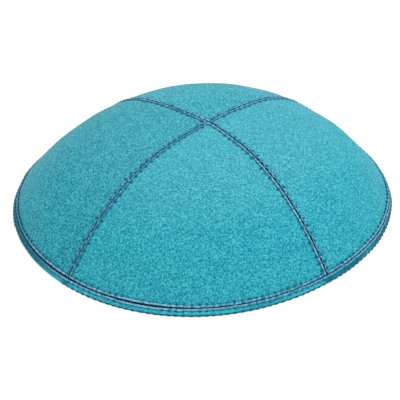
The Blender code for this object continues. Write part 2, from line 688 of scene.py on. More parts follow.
@dataclass(frozen=True)
class Sheet:
    """The numbering of a gore's sheet: its upper corner, then rows of points down to the rim."""

    rows: int
    columns: int

    def spots(self) -> tuple[Array, Array]:
        """The u and v of each point, evenly spaced. The upper corner has u 0.5 and v 0.

        Returns:
            All u and all v, in the order of the points' numbers.
        """
        v = np.linspace(0.0, 1.0, self.rows + 1)[1:]
        u = np.linspace(0.0, 1.0, self.columns + 1)
        all_u = np.concatenate([[0.5], np.tile(u, self.rows)])
        return all_u, np.concatenate([[0.0], np.repeat(v, self.columns + 1)])

    def numbers(self) -> Faces:
        """The points' numbers, row by row, without the upper corner."""
        return 1 + np.arange(self.rows * (self.columns + 1)).reshape(self.rows, -1)

    def border(self) -> Faces:
        """The numbers from the upper corner down a seam, along the rim and up the other seam."""
        grid = self.numbers()
        return np.concatenate([[0], grid[:, 0], grid[-1, 1:-1], grid[::-1, -1]])

    def faces(self) -> list[Faces]:
        """Its quads, and the fan of triangles round the upper corner.

        Returns:
            The faces as the numbers of their points.
        """
        grid = self.numbers()
        quads = np.stack([grid[:-1, :-1], grid[1:, :-1], grid[1:, 1:], grid[:-1, 1:]], axis=-1)
        fan = np.stack([np.zeros(self.columns, int), grid[0, :-1], grid[0, 1:]], axis=-1)
        return [quads.reshape(-1, 4), fan]

    def halved(self) -> Sheet:
        """The same sheet with every second row and column."""
        return Sheet(self.rows // 2, self.columns // 2)


@dataclass(frozen=True)
class EdgeProfile:
    """The section of a turned-up raw edge, from the outer face over the cut to the inner face."""

    sewing: Sewing
    under_steps: int = 5
    arched: float = 0.02 * MM  # how much higher the cut is in its middle
    lowest: float = 0.08 * MM  # the height over the face where the seam's open side ends

    def points(self) -> Array:
        """Works out the section's points.

        Returns:
            Rows of along, out, cut, crease, hollow and hem, as section_rows makes them.
        """
        s = self.sewing
        centre, top = s.foot + s.bend, s.raw_edge - s.rounding
        outer_top, inner_top = s.foot - s.lean, s.gap / 2 + s.taper
        bend = np.radians([0, 30, 60, 90])
        outer, inner = np.radians([0, 35, 65, 90]), np.radians([90, 60, 30, 0])
        side = np.array([0.55, 0.15])
        under = np.radians(np.linspace(0, 90, self.under_steps))
        # Its crease and hollow values are painted shade: along the foot and down the open seam.
        parts = [
            section_rows(
                centre - s.bend * np.sin(bend),
                s.bend * (1 - np.cos(bend)),
                crease=[0.8, 1.0, 1.0, 0.9],
            ),
            section_rows([s.foot - 0.4 * s.lean], 0.5 * (top + s.bend), cut=0.1, crease=0.6),
            section_rows(
                outer_top - s.rounding * (1 - np.cos(outer)),
                top + s.rounding * np.sin(outer),
                cut=[0.5, 0.85, 1.0, 1.0],
            ),
            section_rows([0.5 * (outer_top + inner_top)], s.raw_edge + self.arched, cut=1.0),
            section_rows(
                inner_top + s.rounding * (1 - np.cos(inner)),
                top + s.rounding * np.sin(inner),
                cut=[1.0, 1.0, 0.7, 0.2],
                hollow=[0.0, 0.1, 0.55, 0.95],
            ),
            section_rows(
                s.touch + side * (inner_top - s.touch),
                self.lowest + side * (top - self.lowest),
                hollow=1.0,
            ),
            section_rows(
                centre - (centre - s.touch) * np.cos(under),
                -s.suede * np.sin(under),
                hollow=1.0 - under / (math.pi / 2),
            ),
        ]
        return np.concatenate(parts)


@dataclass
class Gore:
    """One gore of the crown: a closed sheet of suede with its raw edges turned up.

    A point of the sheet is found from u, from its first seam (0) to its second (1), v, from its
    upper corner (0) to the rim (1), an inset from all three seams and a height over the
    outer face. The share runs from inset / (rim_radius * sin(half the corner)) to
    1 - inset / rim_stretch, and the azimuth between the seams, each stepped in by
    asin(inset / (rim_radius * share)).
    """

    form: CrownForm
    first: CrownSeam
    second: CrownSeam
    rim: RimSeam
    ridge: Ridge
    rim_ridge: Ridge
    outer: Sheet = Sheet(rows=208, columns=240)
    crowding: float = 0.6  # how much closer the columns lie towards the seams
    flattened: float = 0.25 * MM  # how much lower a ridge stands where it is pressed in
    dulled: float = 0.6  # how much less pale its cut edge is there
    hole_shade: float = 1.6  # painted shade in the stitch holes beside the rim seam
    under_shade: float = 0.6  # painted shade: how much darker the rim's crease is where the band turns under
    edge_relief: float = 0.6  # how much of the stitches' relief a turned edge has
    inner_relief: float = 0.35  # and the inner sheet
    layer_step: float = 0.1  # between the spots where the layers read their raggedness

    def skin(self) -> Skin:
        """Works out the whole gore: outer sheet, turned edge and a coarser inner sheet.

        Returns:
            Its points, faces and paint.
        """
        profile = EdgeProfile(self.form.sewing).points()
        outer, inner = self.outer, self.outer.halved()
        between = profile[1:-1]
        border = outer.border()
        rows, columns, size = outer.rows, outer.columns, len(border)
        # Which seam each point of the border follows: the upper corner, both seams and the rim.
        side = np.repeat([4, 1, 3, 2], [1, rows, columns - 1, rows])
        corner = np.isin(np.arange(size), [rows, rows + columns])
        outer_u, outer_v = outer.spots()
        parts = [
            spot_rows(outer_u, outer_v),
            np.tile(spot_rows(outer_u[border], outer_v[border], side, corner), (len(between), 1)),
            spot_rows(*inner.spots()),
        ]
        counts = [len(part) for part in parts]
        values = np.repeat(profile, [counts[0]] + [size] * len(between) + [counts[2]], axis=0)
        layer = np.repeat([1, 0, -1], counts)
        u, v, sides, corners = np.concatenate(parts).T
        points, paint = self.place(u, v, values, sides, corners == 1, layer)

        middle = counts[0] + np.arange(counts[1]).reshape(len(between), size)
        rings = np.concatenate([border[None], middle])
        ahead = np.roll(rings, -1, axis=1)
        strip = np.stack([ahead[:-1], rings[:-1], rings[1:], ahead[1:]], axis=-1).reshape(-1, 4)
        # Two steps of the last ring meet one step of the inner sheet's border.
        start = counts[0] + counts[1]
        last, coarse = rings[-1], inner.border() + start
        here, halfway, beyond = last[0::2], last[1::2], np.roll(last[0::2], -1)
        onward = np.roll(coarse, -1)
        seams = [
            np.stack([halfway, here, coarse], axis=-1),
            np.stack([beyond, halfway, onward], axis=-1),
            np.stack([halfway, coarse, onward], axis=-1),
        ]
        turned = [(faces + start)[:, ::-1] for faces in inner.faces()]
        return Skin(points, [*outer.faces(), strip, *seams, *turned], paint)

    def place(
        self, u: Array, v: Array, values: Array, sides: Array, corners: Array, layer: Array
    ) -> tuple[Array, dict[str, Array]]:
        """Places the gore's points and works out what is painted on them.

        Args:
            u: From the first seam (0) to the second (1).
            v: From the upper corner (0) to the rim (1).
            values: The edge profile's values for each point.
            sides: Which seam's edge a point is part of: 1, 2, 3 for the rim, 4 for the
                upper corner, and 0 for the sheets.
            corners: Whether a point is part of a corner at the rim.
            layer: 1 on the outer sheet, -1 on the inner sheet, 0 on the turned edge.

        Returns:
            The points, and the painted values by name.
        """
        form, foot = self.form, self.form.sewing.foot
        inset, height, cut, foot_crease, hollow, _ = values.T
        half = (self.second.at(0.0) - self.first.at(0.0)) / 2
        half = (half + math.pi) % math.pi
        top = inset / (form.rim_radius * math.sin(half))
        bottom = 1 - inset / form.rim_stretch
        share = top + (bottom - top) * form.share_at_run(v * form.slope_run(1.0))
        step_in = np.arcsin(np.clip(inset / (form.rim_radius * share), -1.0, 1.0))
        start = self.first.at(share) + step_in
        turn = np.mod(self.second.at(share) - self.first.at(share), math.tau) - 2 * step_in
        crowd = self.crowding
        across = 0.5 + 0.5 * np.tanh(crowd * (2 * u - 1)) / math.tanh(crowd)
        azimuth = np.where(v == 0.0, self.first.at(0.0) + half, start + turn * across)

        reach, run = form.rim_radius * share, form.slope_run(share)
        from_first = np.clip(azimuth - self.first.at(share), 0.0, math.pi / 2)
        from_second = np.mod(self.second.at(share) - azimuth, math.tau)
        from_second = np.clip(from_second, 0.0, math.pi / 2)
        base = form.point(azimuth, share)
        round_, out = form.round(azimuth, share), form.out(azimuth, share)
        # For the first seam, the second and the rim: the distance beside it, the run along it, its
        # stitches and ridge, the way off it, how loose, how open and how pale it is, with painted
        # light and shade
        beside = (
            reach * np.sin(from_first) - foot,
            reach * np.sin(from_second) - foot,
            form.slope_run(1.0) - run - foot,
        )
        runs = (run, run, self.rim.run(azimuth))
        rows = (self.first.stitches, self.second.stitches, self.rim.stitches)
        ridges = (self.ridge, self.ridge, self.rim_ridge)
        ways = (round_, -round_, -form.down(azimuth, share))
        loose = (self.first.looseness(run), self.second.looseness(run), np.ones_like(run))
        openings = (self.first.slack, self.second.slack, self.rim.parting(azimuth))
        pales = (self.first.pale_and_painted_shade[0], self.second.pale_and_painted_shade[1], self.rim.pale_and_painted_shade(azimuth))

        risen = form.sewing.risen(height)
        ragged = self.ridge.ragged.at(base + self.layer_step * (layer[:, None] + 2))
        lift = height + form.sag(base)
        shade, pale_and_painted_shade, pressed = np.zeros_like(lift), np.ones_like(lift), form.pressed(base)
        edge_or_inner = np.where(layer == 0, self.edge_relief, self.inner_relief)
        relief = np.where(layer == 1, 1.0, edge_or_inner)
        for number, (near, along, row, ridge, way, slack, opening, pale) in enumerate(
            zip(beside, runs, rows, ridges, ways, loose, openings, pales), start=1
        ):
            at_rim = number == 3
            stitch = row.nearest(along)
            is_edge = (sides == number) | (corners & at_rim) | ((sides == 4) & (not at_rim))
            lift = lift + ridge.relief(near, stitch) * relief
            part = ridge.part(stitch) + ragged * ridge.sideways + opening
            part = slack * part - (1 - slack) * form.sewing.closed
            base = base + way * (is_edge * part * risen**ridge.curl)[:, None]
            held = ridge.held(stitch)
            pale_and_painted_shade = np.where(is_edge, pale * (1 - ridge.tighter * held), pale_and_painted_shade)
            lift = lift - is_edge * risen * (ridge.dip * held + ridge.tucked * (1 - slack))
            # Painted shade: the crease along each foot, and a tick beside each stitch.
            creased = foot_crease * is_edge * ridge.crease(stitch)
            shaded = np.where(layer == 1, ridge.shade(near, stitch), creased)
            if at_rim:
                # Where the band turns under, painted shade: the stitches' holes beside its seam are
                # painted dark, and its crease darker.
                hole = np.where(layer == 1, shaded - ridge.line, foot_crease * is_edge * held)
                hole = np.clip(hole, 0.0, 1.0) * self.rim.under(azimuth) ** 2
                hollow = np.maximum(hollow, self.hole_shade * hole)
                shaded = shaded * (1 + self.under_shade * self.rim.under(azimuth, cut=True))
            shade = np.maximum(shade, shaded)
        lift = lift + risen * (ragged - self.flattened * pressed)
        paint = {
            "cut": cut,
            "pale_and_painted_shade": pale_and_painted_shade * (1 - self.dulled * pressed),
            "shade": np.clip(shade, 0.0, 1.0),
            "hollow": hollow,
            "inside": (layer < 0).astype(float),
        }
        return base + out * lift[:, None], paint


@dataclass
class RimBand:
    """The band round the rim: a closed section carried along the rim seam.

    A point of the section has its distance along the face, down from the rim seam, and its
    distance out of it. Above the seam, a point lies on the crown's own curve, and below it on
    the straight run-out of the crown's slope.
    """

    form: CrownForm
    rim: RimSeam
    seams: tuple[CrownSeam, ...]
    ridge: Ridge
    stations: int = 1080
    lump: float = 0.45 * MM  # where the end of a crown seam lies under the band
    lump_width: float = 2.4 * MM
    hem_turn: float = 62.0  # degrees round the fold to the middle of its painted shade
    hem_spread: float = 38.0
    hem_shade: float = 1.30
    hem_pinch: float = 0.16 * MM  # how deep the hem's stitches draw it in
    hem_even: float = 0.8  # how much of the hem's painted shade runs on between its stitches
    relief: float = 0.7  # how much of the stitches' relief its face has
    # painted shade over the lump where each crown seam ends under the band
    lump_shade: float = 0.35
    raggedness_at: float = 0.31  # where it reads its raggedness, away from the gores' own
    face_top: float = 0.02 * MM  # what stands further out is its turned edge
    leaf_corner: float = 0.15 * MM

    def section(self) -> Array:
        """Works out the section's points.

        Returns:
            Rows of along, out, cut, crease, hollow and hem, as section_rows makes them.
        """
        sewing, profile = self.form.sewing, EdgeProfile(self.form.sewing)
        face_start, face_end = sewing.foot + sewing.bend, sewing.foot + self.form.band_face
        radius, top = self.form.fold_width / 2, -self.form.band_leaf
        inner = -self.form.fold_width
        outer, corner = inner + sewing.suede, top + self.leaf_corner
        turn = np.radians([180, 160, 140, 122, 108, 96, 84, 72, 60, 48, 36, 24, 12, 0])
        parts = [
            # From the outer face, over the cut edge and down the seam's side, as on a gore
            profile.points()[: -profile.under_steps],
            # Up the leaf's hidden side, over its cut edge and down its open side
            section_rows(np.array([0.0, 0.3, 0.65]) * top + sewing.touch, outer, hollow=1.0),
            section_rows([corner], outer, cut=0.3, hollow=0.4),
            section_rows(
                top, inner + np.array([0.85, 0.5, 0.15]) * sewing.suede, cut=[0.9, 1.0, 0.9]
            ),
            section_rows([corner], inner, cut=0.3),
            section_rows(top + np.linspace(0.05, 0.92, 9) * (face_end - top), inner),
            # Round the fold and up the face
            section_rows(
                face_end + radius * np.sin(turn),
                radius * (np.cos(turn) - 1),
                hem=bell(np.degrees(turn) - self.hem_turn, self.hem_spread),
            ),
            section_rows(face_start + np.linspace(0.8, 0.2, 4) * (face_end - face_start), 0.0),
        ]
        return np.concatenate(parts)

    def skin(self) -> Skin:
        """Works out the whole band.

        Returns:
            Its points, faces and paint.
        """
        section = self.section()
        azimuths = np.linspace(0.0, math.tau, self.stations, endpoint=False)
        azimuth = np.tile(azimuths, len(section))
        values = np.repeat(section, self.stations, axis=0)
        points, paint = self.place(azimuth, values)
        numbers = np.arange(len(points)).reshape(len(section), self.stations)
        rings = np.concatenate([numbers, numbers[:1]])
        ahead = np.roll(rings, -1, axis=1)
        faces = np.stack([ahead[:-1], ahead[1:], rings[1:], rings[:-1]], axis=-1).reshape(-1, 4)
        return Skin(points, [faces], paint)

    def place(self, azimuth: Array, values: Array) -> tuple[Array, dict[str, Array]]:
        """Places the band's points and works out what is painted on them.

        Args:
            azimuth: Azimuths in radians.
            values: The section's values for each point.

        Returns:
            The points, and the painted values by name.
        """
        form, sewing, ridge = self.form, self.form.sewing, self.ridge
        along, out_by, cut, crease, hollow, hem = values.T
        share = 1 + np.minimum(0.0, along) / form.rim_stretch
        base = form.point(azimuth, share)
        down, out = form.down(azimuth, share), form.out(azimuth, share)
        base = base + down * np.maximum(0.0, along)[:, None]
        stitch = self.rim.stitches.nearest(self.rim.run(azimuth))
        outside = (out_by > -form.fold_width / 2) & (along > 0)
        risen = sewing.risen(out_by)
        ragged = ridge.ragged.at(base + self.raggedness_at)
        part = ridge.part(stitch) + ragged * ridge.sideways + self.rim.parting(azimuth)
        base = base + down * (part * risen**ridge.curl)[:, None]
        beside = along - sewing.foot
        held = ridge.held(stitch)
        lift = out_by + form.sag(base)
        lift = lift + ridge.relief(beside, stitch) * self.relief * outside
        lift = lift + risen * (ragged - ridge.dip * held)
        lift = lift - self.hem_pinch * hem * held
        ends = [form.rim_radius * wrapped(azimuth - seam.at(1.0)) for seam in self.seams]
        spots = np.max([bell(end, self.lump_width) for end in ends], axis=0)
        lift = lift + self.lump * spots * outside
        points = base + out * lift[:, None]
        points[:, 2] = np.maximum(points[:, 2], 0.0)
        face = outside & (out_by < self.face_top)
        # Painted shade: the foot's crease, the hem's fold, where the band turns under, and over
        # each lump.
        shade = np.where(face, ridge.shade(beside, stitch), crease * ridge.crease(stitch))
        hem_painted_shade = self.hem_shade * hem * (self.hem_even + (1 - self.hem_even) * held)
        under = self.rim.under(azimuth) * face + self.rim.under(azimuth, cut=True) * cut * outside
        shade = np.maximum(np.maximum(shade, hem_painted_shade * self.rim.shown(azimuth)), under)
        paint = {
            "cut": cut,
            "pale_and_painted_shade": self.rim.pale_and_painted_shade(azimuth) * (1 - ridge.tighter * held),
            "shade": np.clip(shade + self.lump_shade * spots * face, 0.0, 1.0),
            "hollow": hollow,
            "inside": 1.0 - outside,
        }
        return points, paint


class Side(Enum):
    """Where a row of thread lies."""

    FIRST = "anticlockwise of a crown seam"
    SECOND = "clockwise of a crown seam"
    CROWN = "on the crown, above the rim seam"
    BAND = "on the band, below the rim seam"
    HEM = "along the band's lower edge"
    LEAF = "inside, on the band's leaf"


@dataclass
class Thread:
    """The thread of all the seams: one short arched tube for each stitch.

    A stitch shows for half of its length, round its middle. It rises out of the suede, lies in the
    dimple that it pulls, and sinks in again. Its height follows the sine of the way along it,
    to a small power, so that it lies flat between.
    """

    form: CrownForm
    rim: RimSeam
    ridge: Ridge
    radius: float = 0.13 * MM
    half: float = 0.75 * MM  # from a stitch's middle to where the thread goes in
    sink: float = 0.30 * MM  # how far its ends go into the suede
    beside: float = 0.36 * MM  # from the foot of a ridge out to the thread
    lying: float = 0.7  # how far its middle lies clear of the suede, as a share of its radius
    arch: float = 0.5  # the power of the sine: the less, the flatter a stitch lies
    rings: int = 7
    sides: int = 6
    hem_turn: float = 58.0  # degrees round the fold to the hem's stitches
    leaf_share: float = 0.7  # how far up the band's leaf its own row lies

    def spot(
        self, side: Side, seam: CrownSeam | None, run: Array, clear: Array
    ) -> tuple[Array, Array]:
        """Points on the thread's route.

        Args:
            side: Which row the stitch is part of.
            seam: Its crown seam, or None on the rim.
            run: Distances along the seam.
            clear: How far the thread's middle stands clear of the suede that it lies on.

        Returns:
            The points, and the unit directions out of the suede there.
        """
        form, foot = self.form, self.form.sewing.foot
        up = self.leaf_share * form.band_leaf if side is Side.LEAF else 0.0
        track = self.rim.track(run, up) if seam is None else seam.track(form, run)
        base, out, aside = track.base, track.out, track.aside
        drape = form.sag(base)
        if side is Side.LEAF:
            return base + out * (drape - form.fold_width - clear)[:, None], -out
        if side is Side.HEM:
            radius, turn = form.fold_width / 2, math.radians(self.hem_turn)
            away = out * math.cos(turn) - aside * math.sin(turn)
            along = foot + form.band_face + radius * math.sin(turn)
            height = radius * (math.cos(turn) - 1) + drape
            return base - aside * along + out * height[:, None] + away * clear[:, None], away
        sign = 1.0 if side in (Side.FIRST, Side.CROWN) else -1.0
        height = drape + self.ridge.relief(np.full_like(run, self.beside), track.stitch) + clear
        return base + sign * aside * (foot + self.beside) + out * height[:, None], out

    def row(self, side: Side, seam: CrownSeam | None, middles: Array) -> tuple[Array, Faces]:
        """The tubes of one row of stitches.

        Args:
            side: Which row it is.
            seam: Its crown seam, or None on the rim.
            middles: The runs of the stitches' middles.

        Returns:
            The points and the faces, numbered from 0.
        """
        way = np.linspace(0.0, 1.0, self.rings)
        run = middles[:, None] + self.half * (2 * way - 1)
        if seam is None:
            run = np.mod(run, self.rim.length)
        arch = np.sin(math.pi * way) ** self.arch
        clear = -self.sink + (self.sink + self.radius * self.lying) * arch
        clear = np.broadcast_to(clear, run.shape)
        middle, away = self.spot(side, seam, run.ravel(), clear.ravel())
        shape = (len(middles), self.rings, 3)
        middle, away = middle.reshape(shape), away.reshape(shape)
        heading = unit(np.gradient(middle, axis=1))
        across = unit(np.cross(heading, away))
        circle = circles(np.cross(across, heading), across, self.sides)
        points = (middle[:, :, None] + circle * self.radius).reshape(-1, 3)
        numbers = np.arange(len(points)).reshape(len(middles), self.rings, self.sides)
        ahead = np.roll(numbers, -1, axis=2)
        tube = [numbers[:, :-1], ahead[:, :-1], ahead[:, 1:], numbers[:, 1:]]
        near, far = numbers[:, 0], numbers[:, -1]
        caps = [
            near[:, [0, 3, 2, 1]],
            near[:, [0, 5, 4, 3]],
            far[:, [0, 1, 2, 3]],
            far[:, [0, 3, 4, 5]],
        ]
        return points, np.concatenate([np.stack(tube, axis=-1).reshape(-1, 4), *caps])

    def skin(self, rows: list[tuple[Side, CrownSeam | None, Array]]) -> Skin:
        """Joins several rows of stitches into one piece's skin.

        Args:
            rows: For each row its side, its crown seam and the runs of its stitches' middles.

        Returns:
            The skin of them all.
        """
        made = [self.row(*row) for row in rows]
        starts = np.cumsum([0] + [len(points) for points, _ in made])
        faces = [faces + start for (_, faces), start in zip(made, starts)]
        return Skin(np.concatenate([points for points, _ in made]), [np.concatenate(faces)])


@dataclass
class Fringe:
    """The short fibres that stand out of the cut edges.

    Each is a thin cone in two steps, with a bend halfway. It grows from a random spot of a cut
    edge's top, out of the suede and a little to one side.
    """

    form: CrownForm
    rim: RimSeam
    seams: tuple[CrownSeam, ...]
    ridge: Ridge
    spacing: float = 0.42 * MM  # along each edge
    shortest: float = 0.25 * MM
    longest: float = 0.70 * MM
    radius: float = 0.028 * MM
    root: float = 0.12 * MM  # how deep a fibre starts in the edge
    spread: float = 0.45  # how far the fibres lean
    upright: float = 0.3  # how far they then stand up again
    bend: float = 0.5  # of their outer half
    waist: float = 0.8  # how thick they are halfway, as a share of the radius
    nearest: float = 0.05  # where on the cut they start, as a share of the way over it
    seed: int = 21

    def roots(
        self, seam: CrownSeam | None, sign: float, draw: np.random.Generator
    ) -> tuple[Array, Array, Array]:
        """Where the fibres of one cut edge grow.

        Args:
            seam: The crown seam, or None on the rim seam.
            sign: 1 for the edge on the seam's anticlockwise side or on the crown, -1 for the other.
            draw: The source of random numbers.

        Returns:
            The roots, the unit directions out of the suede there, and those across the seam.
        """
        form, sewing = self.form, self.form.sewing
        whole = self.rim.length if seam is None else float(form.slope_run(1.0)) - sewing.foot
        run = draw.uniform(sewing.foot if seam else 0.0, whole, int(whole / self.spacing))
        track = self.rim.track(run) if seam is None else seam.track(form, run)
        loose, aside = track.loose, sign * track.aside
        part = self.ridge.part(track.stitch) + track.opening
        part = loose * part - (1 - loose) * sewing.closed
        near, far = sewing.gap / 2 + sewing.taper, sewing.foot - sewing.lean
        inset = near + (far - near) * draw.uniform(self.nearest, 1.0, len(run)) + part
        dip = self.ridge.dip * self.ridge.held(track.stitch) + self.ridge.tucked * (1 - loose)
        height = sewing.raw_edge - dip + form.sag(track.base) - self.root
        return track.base + aside * inset[:, None] + track.out * height[:, None], track.out, aside

    def skin(self) -> Skin:
        """Grows all the fibres.

        Returns:
            Their skin.
        """
        draw = np.random.default_rng(self.seed)
        grown = [
            self.roots(seam, sign, draw) for seam in (*self.seams, None) for sign in (1.0, -1.0)
        ]
        root, out, aside = (np.concatenate(parts) for parts in zip(*grown))
        count = len(root)
        length = draw.uniform(self.shortest, self.longest, (count, 1)) + self.root
        heading = unit(out + self.spread * draw.normal(size=(count, 3)))
        heading = unit(heading + out * self.upright)
        bent = unit(heading + self.bend * draw.normal(size=(count, 3)))
        across = unit(np.cross(heading, aside))
        circle = circles(across, np.cross(across, heading), 3)
        halfway = root + heading * length / 2
        tip = halfway + bent * length / 2
        low = root[:, None] + circle * self.radius
        middle = halfway[:, None] + circle * self.radius * self.waist
        points = np.concatenate([low, middle, tip[:, None]], axis=1).reshape(-1, 3)
        numbers = np.arange(len(points)).reshape(count, 7)
        walls = [numbers[:, [k, (k + 1) % 3, 3 + (k + 1) % 3, 3 + k]] for k in range(3)]
        cone = [numbers[:, [3 + k, 3 + (k + 1) % 3, 6]] for k in range(3)]
        return Skin(points, [*walls, *cone, numbers[:, [2, 1, 0]]])


class Nodes:
    """Adds and joins the nodes of one material."""

    def __init__(self, name: str) -> None:
        """Starts a material with a Principled shader.

        Args:
            name: The material's name.
        """
        self.material = bpy.data.materials.new(name)
        self.material.use_nodes = True
        self.tree = self.material.node_tree
        self.shader = self.tree.nodes["Principled BSDF"]

    def add(
        self, kind: str, output: str | int, inputs: dict[str | int, object], **settings: object
    ) -> Socket:
        """Adds a node.

        Args:
            kind: The node's type.
            output: The name or number of the output that is used.
            inputs: A value, or a socket to join, for each input by name or number.
            settings: The node's own settings.

        Returns:
            The output.
        """
        node = self.tree.nodes.new(kind)
        for name, value in settings.items():
            setattr(node, name, value)
        for name, value in inputs.items():
            if isinstance(value, Socket):
                self.tree.links.new(value, node.inputs[name])
            else:
                node.inputs[name].default_value = value
        return node.outputs[output]

    def place(self) -> Socket:
        """The piece's own coordinates, in metres."""
        return self.add("ShaderNodeTexCoord", "Object", {})

    def height(self) -> Socket:
        """The height over the table, in metres."""
        return self.add("ShaderNodeSeparateXYZ", "Z", {0: self.place()})

    def paint(self, name: str) -> Socket:
        """A value painted on the piece's points."""
        return self.add("ShaderNodeAttribute", "Fac", {}, attribute_name=name)

    def noise(
        self, size: float, detail: float, roughness: float = 0.5, swirl: float = 0.0
    ) -> Socket:
        """Cloudy noise.

        Args:
            size: The width of a cloud, in metres.
            detail: How many finer layers are added.
            roughness: How strong the finer layers are.
            swirl: How far the pattern is twisted.

        Returns:
            A value round 0.5.
        """
        inputs = {"Vector": self.place(), "Scale": 1 / size, "Detail": detail}
        inputs |= {"Roughness": roughness, "Distortion": swirl}
        return self.add("ShaderNodeTexNoise", "Fac", inputs)

    def sum(self, values: tuple[Socket, ...], weights: tuple[float, ...]) -> Socket:
        """Adds several values up, each times its weight.

        Args:
            values: The values.
            weights: As many weights.

        Returns:
            The sum.
        """
        total: Socket | float = 0.0
        for value, weight in zip(values, weights, strict=True):
            inputs = {0: value, 1: weight, 2: total}
            total = self.add("ShaderNodeMath", 0, inputs, operation="MULTIPLY_ADD")
        return total

    def spread(self, value: Socket, low: float, high: float) -> Socket:
        """A value carried smoothly from a range to 0 to 1, and held at its ends."""
        inputs = {"Value": value, "From Min": low, "From Max": high}
        return self.add("ShaderNodeMapRange", "Result", inputs, interpolation_type="SMOOTHSTEP")

    def ramp(self, value: Socket, *stops: tuple[float, Colour]) -> Socket:
        """A colour for each value, from stops of a position and a colour.

        Args:
            value: Where to read the ramp.
            stops: Positions and colours, from low to high.

        Returns:
            The colour.
        """
        output = self.add("ShaderNodeValToRGB", "Color", {"Fac": value})
        elements = output.node.color_ramp.elements
        while len(elements) < len(stops):
            elements.new(0.5)
        for element, (position, colour) in zip(elements, stops, strict=True):
            element.position = position
            element.color = (*colour, 1.0)
        return output

    def blend(self, factor: Socket, low: Socket, high: Socket | tuple[float, ...]) -> Socket:
        """One colour where the factor is 0, another where it is 1."""
        return self.add("ShaderNodeMix", 2, {0: factor, 6: low, 7: high}, data_type="RGBA")

    def bump(self, height: Socket, depth: float, strength: float) -> None:
        """Roughens the shader's surface by a height.

        Args:
            height: The height, from 0 to 1.
            depth: How deep a height of 1 is, in metres.
            strength: How much of it shows.
        """
        inputs = {"Height": height, "Distance": depth, "Strength": strength}
        normal = self.add("ShaderNodeBump", "Normal", inputs)
        self.tree.links.new(normal, self.shader.inputs["Normal"])

    def finish(self, colour: Socket, **values: float | tuple[float, ...]) -> bpy.types.Material:
        """Joins the colour to the shader, sets its sockets and hands over the material.

        Args:
            colour: The base colour.
            values: The shader's own values, as in settings.

        Returns:
            The material.
        """
        self.tree.links.new(colour, self.shader.inputs["Base Color"])
        self.settings(**values)
        return self.material

    def settings(self, **values: float | tuple[float, ...]) -> None:
        """Sets the shader's own sockets, named with underscores for spaces."""
        for name, value in values.items():
            self.shader.inputs[name.replace("_", " ")].default_value = value


